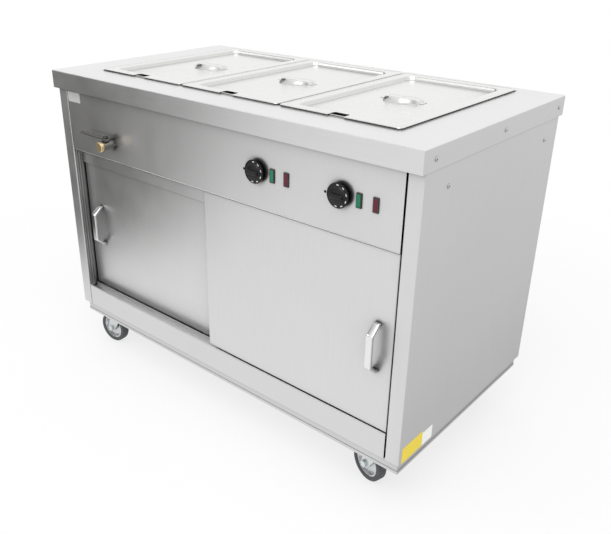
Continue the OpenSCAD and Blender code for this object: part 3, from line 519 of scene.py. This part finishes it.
lid_steel = stainless("lid_steel", (0.84, 0.84, 0.83), GRAIN_DEEP, 0.26, grain=0.05, clouds=0.06,
                      shade=0.5)
for place in ("left", "middle", "right"):
    low, high = (Vector(corner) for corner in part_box(f"lid_{place}"))
    centre = (low + high) / 2
    width, length = high.x - low.x, high.y - low.y
    pan_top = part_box(f"pan_{place}")[1][2]
    top = pan_top + LID_GAP + LID_SHEET
    steps = [
        (0.0006, top - 0.0020, LID_CORNER), (0, top - 0.0013, LID_CORNER),
        (0.0004, top - 0.0004, LID_CORNER), (0.0012, top, LID_CORNER), (0.0255, top, PANEL_CORNER),
        (0.0268, top - 0.0002, PANEL_CORNER), (0.0281, top - 0.0010, PANEL_CORNER),
        (0.0292, top - 0.0030, PANEL_CORNER), (0.0299, top - 0.0070, PANEL_CORNER),
        (0.0310, top - 0.0090, PANEL_CORNER), (0.0330, top - 0.0099, PANEL_CORNER - 0.002),
        (0.0350, top - PANEL_DEPTH, PANEL_CORNER - 0.003)]
    bm = bmesh.new()
    rings = [ring(bm, width - 2 * step, length - 2 * step, corner, z) for step, z, corner in steps]
    bowl = [ring(bm, 2 * radius, 2 * radius, radius, top - drop)
            for radius, drop in ((0.051, 0.0100), (DIMPLE_R, 0.0102), (0.0462, 0.0116),
                                 (0.0385, 0.0225), (0.0350, 0.0260), (0.0305, 0.0270))]
    loft(bm, rings)
    loft(bm, bowl)
    bmesh.ops.triangle_fill(bm, use_beauty=True, edges=rings[-1] + bowl[0], normal=(0, 0, 1))
    bmesh.ops.edgeloop_fill(bm, edges=bowl[-1])
    bmesh.ops.translate(bm, verts=bm.verts, vec=(centre.x, centre.y, 0))
    crease_by_angle(bm, 50)
    lid = new_piece(f"lid_{place}_pressing", bm, lid_steel, f"lid_{place}")
    thicken(lid, LID_SHEET)
    bm = bmesh.new()
    block(bm, (NOTCH_W, 2 * NOTCH_L, NOTCH_CUT_H), (centre.x, low.y, top))
    upright_edges = [e for e in bm.edges
                     if abs(e.verts[0].co.z - e.verts[1].co.z) > NOTCH_CUT_H / 2]
    round_edges(bm, upright_edges, NOTCH_ROUND, 6)
    cut_out(lid, loose_object("notch_cutter", bm))
    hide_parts(f"lid_{place}")

    bm = bmesh.new()
    bead = [ring(bm, width - 2 * BEAD_IN, length - 2 * BEAD_IN, LID_CORNER - BEAD_IN, z)
            for z in (pan_top + 0.0002, top - 0.0006)]
    loft(bm, bead)
    bmesh.ops.translate(bm, verts=bm.verts, vec=(centre.x, centre.y, 0))
    crease_by_angle(bm)
    rest = new_piece(f"lid_{place}_bead", bm, lid_steel, f"lid_{place}")
    thicken(rest, LID_SHEET)
    settle_modifiers(rest)

    panel = top - PANEL_DEPTH
    strap_top = panel + STRAP_RISE + LID_SHEET / 2
    outline = [(-0.058, panel + 0.0005), (-0.050, panel + 0.0005), (-0.0475, panel + 0.0012),
               (-0.0445, strap_top - 0.0012), (-0.0420, strap_top - 0.0002), (-0.030, strap_top),
               (0.0, strap_top + 0.0002)]
    outline += [(-x, z) for x, z in reversed(outline[:-1])]
    bm = bmesh.new()
    band(bm, [(centre.x + x, centre.y - STRAP_W / 2, z) for x, z in outline], (0, STRAP_W, 0))
    crease_by_angle(bm, 60)
    strap = new_piece(f"lid_{place}_strap", bm, lid_steel, f"lid_{place}")
    thicken(strap, LID_SHEET, 0)
    edge = strap.modifiers.new("edge", "BEVEL")
    edge.width = 0.0003
    edge.segments = 2
    settle_modifiers(strap)


# Doors: two folded trays with a bow handle each. The handle is a flat bar with chamfered edges,
# bent to a shallow bow and plated.
door_steel = stainless("door_steel", (0.80, 0.80, 0.80), GRAIN_UP, 0.34)
finish_node(door_steel, "door_left_outer", "door_right_outer")
nylon = bpy.data.materials.new("nylon")
nylon.use_nodes = True
tree = nylon.node_tree
shader = tree.nodes["Principled BSDF"]
speck = put(tree, "ShaderNodeTexNoise")
speck.inputs["Scale"].default_value = 60
tone = put(tree, "ShaderNodeMix", data_type="RGBA")
tone.inputs["A"].default_value = (0.84, 0.83, 0.78, 1)
tone.inputs["B"].default_value = (0.92, 0.91, 0.88, 1)
coords = put(tree, "ShaderNodeTexCoord")
# Painted shade: the nylon's colour is darkened in gaps and corners by the corner_shade group.
corners = put(tree, "ShaderNodeGroup", node_tree=CORNER_SHADE)
shaded = put(tree, "ShaderNodeVectorMath", operation="SCALE")
tree.links.new(coords.outputs["Object"], speck.inputs["Vector"])
tree.links.new(speck.outputs["Fac"], tone.inputs["Factor"])
tree.links.new(tone.outputs["Result"], shaded.inputs[0])
tree.links.new(corners.outputs["Open"], shaded.inputs["Scale"])
tree.links.new(shaded.outputs["Vector"], shader.inputs["Base Color"])
shader.inputs["Roughness"].default_value = 0.5
finish_node(nylon, "door_left_glides", "door_right_glides")

handle_chrome = stainless("handle_chrome", (0.93, 0.93, 0.94), GRAIN_UP, 0.14, grain=0.02,
                          clouds=0.05, depth=0.03)
HANDLE_BAR = 0.0065
HANDLE_CHAMFER = 0.0019
HANDLE_SHOULDER = 0.009
HANDLE_SLOPE = 0.019
HANDLE_BEND = 0.0045
BEND_STEPS = 5


def rounded_path(points, radius, steps):
    """Replace each inner corner of a path of 2D points with an arc."""
    path = [Vector(points[0])]
    for before, corner, after in zip(points, points[1:], points[2:]):
        corner = Vector(corner)
        back = (Vector(before) - corner).normalized()
        on = (Vector(after) - corner).normalized()
        half = back.angle(on) / 2
        centre = corner + (back + on).normalized() * radius / math.sin(half)
        start = corner + back * radius / math.tan(half) - centre
        turn = -start.angle_signed(corner + on * radius / math.tan(half) - centre)
        path += [centre + Matrix.Rotation(turn * i / steps, 2) @ start for i in range(steps + 1)]
    path.append(Vector(points[-1]))
    return path


for place in ("left", "right"):
    low, high = (Vector(corner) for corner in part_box(f"door_{place}_handle"))
    middle_z = (low.z + high.z) / 2
    end = (high.z - low.z - HANDLE_BAR) / 2
    reach = high.y - low.y - HANDLE_BAR / 2
    corners = [(0, end), (HANDLE_SHOULDER, end), (reach, end - HANDLE_SLOPE),
               (reach, HANDLE_SLOPE - end), (HANDLE_SHOULDER, -end), (0, -end)]
    bm = bmesh.new()
    bow = [(low.x, high.y - out, middle_z + up)
           for out, up in rounded_path(corners, HANDLE_BEND, BEND_STEPS)]
    band(bm, bow, (high.x - low.x, 0, 0))
    crease_by_angle(bm, 80)
    handle = new_piece(f"door_{place}_bow", bm, handle_chrome, f"door_{place}")
    thicken(handle, HANDLE_BAR, 0).use_even_offset = True
    edge = handle.modifiers.new("chamfer", "BEVEL")
    edge.width = HANDLE_CHAMFER
    edge.segments = 3
    edge.limit_method = "ANGLE"
    edge.angle_limit = math.radians(60)
    settle_modifiers(handle)
    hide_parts(f"door_{place}_handle")


# Jamb strips: narrow folded strips up each door jamb, spot-welded on, which show as fine lines beside
# the doors. Their steel is painted far darker than the cabinet's, as painted shade in the jamb.
STRIP_OUT = 0.0018
STRIP_BACKS = (0.0055, 0.0125, 0.0205)
STRIP_WIDE = 0.0026
STRIP_ROUND = 0.0004
DOOR_TO_JAMB = 0.0035
STRIP_END_GAP = 0.001
# Painted shade: the strips' steel is darkened well below the cabinet's to stand for the shade in the
# door jamb.
shaded_strip_steel = stainless("shaded_strip_steel", (0.40, 0.40, 0.39), GRAIN_UP, 0.34, shade=0.8)
jamb_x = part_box("door_right_outer")[1][0] + DOOR_TO_JAMB
foot_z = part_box("bottom_rail")[1][2] + STRIP_END_GAP
head_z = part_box("control_fascia")[0][2] - STRIP_END_GAP
face_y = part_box("control_fascia")[0][1]
bm = bmesh.new()
for hand in (-1, 1):
    for back in STRIP_BACKS:
        block(bm, (STRIP_OUT, STRIP_WIDE, head_z - foot_z),
              (hand * (jamb_x - STRIP_OUT / 2), face_y + back, (head_z + foot_z) / 2))
round_edges(bm, bm.edges[:], STRIP_ROUND, 2)
crease_by_angle(bm)
new_piece("jamb_strips", bm, shaded_strip_steel, "cabinet")


# Rail beads: a thin rolled edge on the lip of the bottom rail and one on the ridge between the door
# grooves, which narrow the open gap at the foot of each door.
LIP_BEAD_R = 0.0011
RIDGE_BEAD_R = 0.0014
RIDGE_BACK = 0.0268
LIP_BEAD_UP = 0.0008
RIDGE_BEAD_UP = 0.0002


def rod(bm, radius, length, middle, segments):
    """A round bar along the X axis."""
    made = bmesh.ops.create_cone(bm, cap_ends=True, segments=segments, radius1=radius,
                                 radius2=radius, depth=length)["verts"]
    bmesh.ops.rotate(bm, verts=made, cent=(0, 0, 0), matrix=Matrix.Rotation(math.pi / 2, 3, "Y"))
    bmesh.ops.translate(bm, verts=made, vec=middle)


rail_low, rail_high = (Vector(corner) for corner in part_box("bottom_rail"))
bm = bmesh.new()
for back, up, radius in ((LIP_BEAD_R, LIP_BEAD_UP, LIP_BEAD_R),
                         (RIDGE_BACK, RIDGE_BEAD_UP, RIDGE_BEAD_R)):
    rod(bm, radius, rail_high.x - rail_low.x, (0, face_y + back, rail_high.z + up), 16)
crease_by_angle(bm)
new_piece("rail_beads", bm, rail_steel, "cabinet")


# Controls: black moulded knobs on the thermostat spindles, with painted dashes on the skirt. An
# index dot is printed on the fascia at the left of each knob.
def moulded(name, colour, roughness, coat=0.0, speck=0.15, scale=90.0, shine=0.5):
    """A moulding with slight unevenness in tone and gloss, and a fine skin."""
    material = bpy.data.materials.new(name)
    material.use_nodes = True
    tree = material.node_tree
    shader = tree.nodes["Principled BSDF"]
    coords = put(tree, "ShaderNodeTexCoord")
    noise = put(tree, "ShaderNodeTexNoise")
    noise.inputs["Scale"].default_value = scale
    noise.inputs["Detail"].default_value = 3
    tone = put(tree, "ShaderNodeMix", data_type="RGBA")
    tone.inputs["A"].default_value = (*(c * (1 - speck) for c in colour), 1)
    tone.inputs["B"].default_value = (*(min(1, c * (1 + speck)) for c in colour), 1)
    gloss = put(tree, "ShaderNodeMapRange")
    gloss.inputs["To Min"].default_value = roughness - 0.06
    gloss.inputs["To Max"].default_value = roughness + 0.06
    bump = put(tree, "ShaderNodeBump")
    bump.inputs["Strength"].default_value = 0.1
    bump.inputs["Distance"].default_value = 0.0002
    join = tree.links.new
    join(coords.outputs["Object"], noise.inputs["Vector"])
    join(noise.outputs["Fac"], tone.inputs["Factor"])
    join(tone.outputs["Result"], shader.inputs["Base Color"])
    join(noise.outputs["Fac"], gloss.inputs["Value"])
    join(gloss.outputs["Result"], shader.inputs["Roughness"])
    join(noise.outputs["Fac"], bump.inputs["Height"])
    join(bump.outputs["Normal"], shader.inputs["Normal"])
    shader.inputs["Coat Weight"].default_value = coat
    shader.inputs["Specular IOR Level"].default_value = shine
    return material


knob_black = moulded("knob_black", (0.012, 0.012, 0.013), 0.30, shine=0.28)
dial_white = moulded("dial_white", (0.70, 0.70, 0.68), 0.45, speck=0.04)
DIAL_H = 0.0115
DIAL_GAP = 0.0003
GRIP_W = 0.017
GRIP_LONG = 1.26
GRIP_TAPER_X = 0.90
GRIP_TAPER_Z = 0.50
GRIP_SHORT_OF_BACK = 0.002
GRIP_ROUND = 0.0024
DASHES = 6
DASH_ARC = 187.2
DASH_T = 0.0004
DASH_L = 0.0054
DASH_W = 0.0021
DASH_R = 0.0232
INDEX_OUT = 0.040
INDEX_DOWN = 0.003
INDEX_R = 0.0031
INDEX_T = 0.0002


def lathe(bm, points, centre, axis, steps):
    """Join points in a row and turn the row round an axis into a closed form."""
    row = [bm.verts.new(point) for point in points]
    edges = [bm.edges.new(pair) for pair in zip(row, row[1:])]
    bmesh.ops.spin(bm, geom=row + edges, cent=centre, axis=axis, angle=2 * math.pi, steps=steps,
                   use_merge=True)
    bmesh.ops.remove_doubles(bm, verts=bm.verts, dist=0.00001)


for place in ("left", "right"):
    low, high = (Vector(corner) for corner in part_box(f"knob_{place}"))
    centre = Vector(((low.x + high.x) / 2, 0, (low.z + high.z) / 2))
    radius = (high.x - low.x) / 2
    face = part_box("control_fascia")[0][1]
    back = face - DIAL_GAP
    front = low.y
    rim = radius - 0.0012
    profile = [
        (0.0, 0.0), (rim - 0.0060, 0.0), (rim - 0.0050, 0.0008), (rim - 0.0012, DIAL_H - 0.0026),
        (rim, DIAL_H - 0.0014), (rim - 0.0004, DIAL_H - 0.0004), (rim - 0.0012, DIAL_H),
        (radius * 0.70, DIAL_H), (radius * 0.67, DIAL_H + 0.0008), (radius * 0.62, DIAL_H + 0.0026),
        (radius * 0.57, DIAL_H + 0.0032), (0.0, DIAL_H + 0.0034)]
    bm = bmesh.new()
    lathe(bm, [(centre.x + out, back - up, centre.z) for out, up in profile],
          (centre.x, back, centre.z), (0, 1, 0), 72)
    grip_depth = back - front - GRIP_SHORT_OF_BACK
    grip_y = front + grip_depth / 2
    grip = block(bm, (GRIP_LONG * radius, grip_depth, GRIP_W), (centre.x, grip_y, centre.z))
    for vert in grip:
        if vert.co.y < grip_y:
            vert.co.z = centre.z + (vert.co.z - centre.z) * GRIP_TAPER_Z
            vert.co.x = centre.x + (vert.co.x - centre.x) * GRIP_TAPER_X
    round_edges(bm, list({e for v in grip for e in v.link_edges}), GRIP_ROUND, 4)
    crease_by_angle(bm, 38)
    knob = new_piece(f"knob_{place}_moulding", bm, knob_black, f"knob_{place}")
    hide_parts(f"knob_{place}")

    bm = bmesh.new()
    for i in range(DASHES):
        angle = math.radians(90 - i * DASH_ARC / (DASHES - 1))
        dash = block(bm, (DASH_W, DASH_T, DASH_L))
        bmesh.ops.rotate(bm, verts=dash, cent=(0, 0, 0), matrix=Matrix.Rotation(-angle, 3, "Y"))
        spot = (centre.x + DASH_R * math.cos(angle), back - DIAL_H,
                centre.z + DASH_R * math.sin(angle))
        bmesh.ops.translate(bm, vec=spot, verts=dash)
    crease_by_angle(bm)
    new_piece(f"knob_{place}_dashes", bm, dial_white, f"knob_{place}")

    bm = bmesh.new()
    bmesh.ops.create_circle(bm, cap_ends=True, segments=20, radius=INDEX_R)
    bmesh.ops.rotate(bm, verts=bm.verts, matrix=Matrix.Rotation(math.pi / 2, 3, "X"))
    bmesh.ops.translate(bm, verts=bm.verts,
                        vec=(centre.x - INDEX_OUT, face - INDEX_T / 2, centre.z - INDEX_DOWN))
    grown = bmesh.ops.extrude_face_region(bm, geom=bm.faces[:])["geom"]
    bmesh.ops.translate(bm, verts=[v for v in grown if isinstance(v, bmesh.types.BMVert)],
                        vec=(0, -INDEX_T, 0))
    crease_by_angle(bm)
    new_piece(f"index_{place}", bm, knob_black, "cabinet")


# Lamps: two beside each knob, with fluted green or dark red lenses in black moulded bodies that clip
# into the fascia. The cable gland at the back is a black moulding too.
lamp_black = moulded("lamp_black", (0.03, 0.03, 0.03), 0.3)
finish_node(lamp_black, "lamp_bodies", "cable_gland")


def lens(name, colour, flute_highlight):
    """A moulded lamp lens with vertical flutes inside, whose bright bands are painted highlights in
    its colour.
    """
    material = moulded(name, colour, 0.16, coat=0.10, speck=0.10, scale=40, shine=0.30)
    tree = material.node_tree
    shader = tree.nodes["Principled BSDF"]
    coords = put(tree, "ShaderNodeTexCoord")
    flutes = put(tree, "ShaderNodeTexWave", wave_type="BANDS", bands_direction="X")
    flutes.inputs["Scale"].default_value = 110
    flutes.inputs["Distortion"].default_value = 0.6
    flutes.inputs["Detail Scale"].default_value = 4
    # Painted highlight: the flute bands mix a darker tone of the lens colour with a bright lit one.
    shade = put(tree, "ShaderNodeMix", data_type="RGBA")
    shade.inputs["A"].default_value = (*(c * 0.55 for c in colour), 1)
    shade.inputs["B"].default_value = (*flute_highlight, 1)
    tree.links.new(coords.outputs["Object"], flutes.inputs["Vector"])
    tree.links.new(flutes.outputs["Color"], shade.inputs["Factor"])
    tree.links.new(shade.outputs["Result"], shader.inputs["Base Color"])
    return material


finish_node(lens("lens_green", (0.002, 0.11, 0.055), (0.006, 0.30, 0.14)), "lamp_lenses_green")
finish_node(lens("lens_red", (0.065, 0.004, 0.016), (0.20, 0.016, 0.045)), "lamp_lenses_red")


# Heating: two thermostats in pale moulded cases behind the fascia, and metal-sheathed elements under
# the well and in the cupboard, dulled by heat.
case_pale = moulded("case_pale", (0.72, 0.70, 0.62), 0.5)
finish_node(case_pale, "thermostats")
sheath = stainless("sheath", (0.28, 0.26, 0.24), GRAIN_ALONG, 0.5, clouds=0.4)
finish_node(sheath, "well_element", "cupboard_element")


# Foot of the fascia: the round fold at its lower edge, a fine line across the front above the doors,
# its steel a little brighter than the fascia's as painted highlight. Under it a thin black strip, a
# dark sheet put there as painted shade, shows as a second line.
FOLD_R = 0.0012
SHADE_STRIP_H = 0.0014
SHADE_STRIP_T = 0.0008
SHADE_STRIP_TUCK = 0.0002
# Painted highlight: the fold's steel is a brighter copy of the fascia's, so the fold shows as a
# bright line.
fold_highlight_steel = stainless("fold_highlight_steel", (0.82, 0.82, 0.81), GRAIN_ALONG, 0.26)
low, high = (Vector(corner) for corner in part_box("control_fascia"))
middle_x = (low.x + high.x) / 2
bm = bmesh.new()
rod(bm, FOLD_R, high.x - low.x, (middle_x, low.y + FOLD_R / 2, low.z + FOLD_R), 20)
crease_by_angle(bm)
new_piece("fascia_foot_fold", bm, fold_highlight_steel, "cabinet")
# Painted shade: a thin black strip under the fold stands for the shadow line below the fascia.
bm = bmesh.new()
block(bm, (high.x - low.x, SHADE_STRIP_T, SHADE_STRIP_H),
      (middle_x, low.y + SHADE_STRIP_T, low.z + SHADE_STRIP_TUCK - SHADE_STRIP_H / 2))
crease_by_angle(bm)
new_piece("fascia_shade_strip", bm, lamp_black, "cabinet")


# Drain tap: a nickel-plated ball valve on the well's drain pipe, with a brass cap. A dark strap lever
# on its stem turns the ball.
tap_nickel = stainless("tap_nickel", (0.24, 0.235, 0.22), GRAIN_DEEP, 0.30, clouds=0.2)
tap_brass = stainless("tap_brass", (0.78, 0.62, 0.36), GRAIN_DEEP, 0.36, clouds=0.3)
lever_dark = stainless("lever_dark", (0.22, 0.21, 0.20), GRAIN_ALONG, 0.45, clouds=0.3)
finish_node(tap_nickel, "tap_body", "drain_pipe")
finish_node(tap_brass, "tap_cap")
finish_node(lever_dark, "tap_lever")


# Castors: a zinc-plated plate, fork and bolt, a plated disc hub and a worn grey rubber tyre, bolted
# up to the channels under the cabinet.
castor_zinc = stainless("castor_zinc", (0.80, 0.84, 0.84), GRAIN_UP, 0.30, grain=0.04,
                        clouds=0.22, shade=0.45)
hub_zinc = stainless("hub_zinc", (0.82, 0.84, 0.84), GRAIN_DEEP, 0.28, grain=0.04,
                     clouds=0.18, shade=0.45)
tyre_rubber = moulded("tyre_rubber", (0.095, 0.10, 0.105), 0.66, speck=0.28, scale=55, shine=0.3)
finish_node(castor_zinc, "castor_plates")
for corner in ("front_left", "front_right", "back_left", "back_right"):
    finish_node(castor_zinc, f"fork_{corner}", f"axle_{corner}")
    finish_node(hub_zinc, f"hub_{corner}")
    finish_node(tyre_rubber, f"tyre_{corner}")


# Screws: dome-headed stainless screws with a cross recess, along the side edges of the worktop and
# high on the side panels.
screw_steel = stainless("screw_steel", (0.60, 0.60, 0.60), GRAIN_UP, 0.3, grain=0.02)
SCREW_HEAD_R = 0.005
SCREW_HEAD_H = 0.0025
EDGE_SCREWS = (-0.2705, 0.0194, 0.3060)
EDGE_SCREW_Z = 0.860
SIDE_SCREWS = (-0.2088, 0.2482)
SIDE_SCREW_Z = 0.7916
CROSS_L = 0.0044
CROSS_W = 0.0010
CROSS_DEPTH = 0.0014
FIRST_TURN = 0.6
NEXT_TURN = 1.1
bm = bmesh.new()
profile = [(0.0, SCREW_HEAD_H), (0.0018, SCREW_HEAD_H - 0.0002), (0.0036, SCREW_HEAD_H - 0.0009),
           (0.0046, SCREW_HEAD_H - 0.0017), (SCREW_HEAD_R, 0.0004), (SCREW_HEAD_R, 0.0), (0.0, 0.0)]
lathe(bm, [(up, out, 0) for out, up in profile], (0, 0, 0), (1, 0, 0), 32)
crease_by_angle(bm, 40)
head_piece = loose_object("screw_head", bm)
bm = bmesh.new()
for across, along in ((CROSS_L, CROSS_W), (CROSS_W, CROSS_L)):
    block(bm, (2 * CROSS_DEPTH, across, along), (SCREW_HEAD_H, 0, 0))
cut_out(head_piece, loose_object("cross_recess", bm), crossing=True)
edge_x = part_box("worktop")[1][0]
side_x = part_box("side_panel_right")[1][0]
spots = [(edge_x, y, EDGE_SCREW_Z) for y in EDGE_SCREWS]
spots += [(side_x, y, SIDE_SCREW_Z) for y in SIDE_SCREWS]
bm = bmesh.new()
for i, (x, y, z) in enumerate(spots):
    for s in (0, 1):
        bm.from_mesh(head_piece.data)
        made = bm.verts[-len(head_piece.data.vertices):]
        turn = Matrix.Rotation(FIRST_TURN + NEXT_TURN * i + s, 3, "X")
        bmesh.ops.rotate(bm, verts=made, cent=(0, 0, 0), matrix=turn)
        bmesh.ops.rotate(bm, verts=made, cent=(0, 0, 0), matrix=Matrix.Rotation(s * math.pi, 3, "Z"))
        bmesh.ops.translate(bm, verts=made, vec=((1 - 2 * s) * x, y, z))
bpy.data.objects.remove(head_piece)
screws = new_piece("panel_screw_heads", bm, screw_steel, "cabinet")
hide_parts("panel_screws")


# Plate and label: a small plain plate at the left of the fascia, and a blank label in two colours
# stuck low on the right side panel.
plate_grey = moulded("plate_grey", (0.50, 0.50, 0.49), 0.40, speck=0.08)
label_yellow = moulded("label_yellow", (0.93, 0.72, 0.045), 0.42, speck=0.05)
label_white = moulded("label_white", (0.97, 0.97, 0.96), 0.42, speck=0.03)
PLATE_X = (-0.556, -0.500)
PLATE_Z = (0.803, 0.831)
LABEL_Z = 0.155
PLATE_T = 0.0006
LABEL_T = 0.00012
PLATE_CORNER = 0.002
LABEL_YELLOW_H = 0.042
LABEL_WHITE_H = 0.036
LABEL_YELLOW_Y = (-0.2907, -0.2037)
LABEL_WHITE_Y = (-0.2037, -0.1597)


def slab(name, low, high, along, material):
    """A thin flat piece on the cabinet between two corners, with its own corners rounded."""
    size = Vector(high) - Vector(low)
    bm = bmesh.new()
    block(bm, size)
    short = [e for e in bm.edges
             if abs((e.verts[0].co - e.verts[1].co)[along]) > size[along] * 0.9]
    round_edges(bm, short, PLATE_CORNER, 5)
    bmesh.ops.translate(bm, vec=(Vector(high) + Vector(low)) / 2, verts=bm.verts)
    crease_by_angle(bm, 30)
    new_piece(name, bm, material, "cabinet")


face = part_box("control_fascia")[0][1]
slab("plain_plate", (PLATE_X[0], face - PLATE_T, PLATE_Z[0]), (PLATE_X[1], face, PLATE_Z[1]), 1,
     plate_grey)
slab("label_front_part", (side_x, LABEL_YELLOW_Y[0], LABEL_Z),
     (side_x + LABEL_T, LABEL_YELLOW_Y[1], LABEL_Z + LABEL_YELLOW_H), 0, label_yellow)
slab("label_back_part", (side_x, LABEL_WHITE_Y[0], LABEL_Z),
     (side_x + LABEL_T, LABEL_WHITE_Y[1], LABEL_Z + LABEL_WHITE_H), 0, label_white)
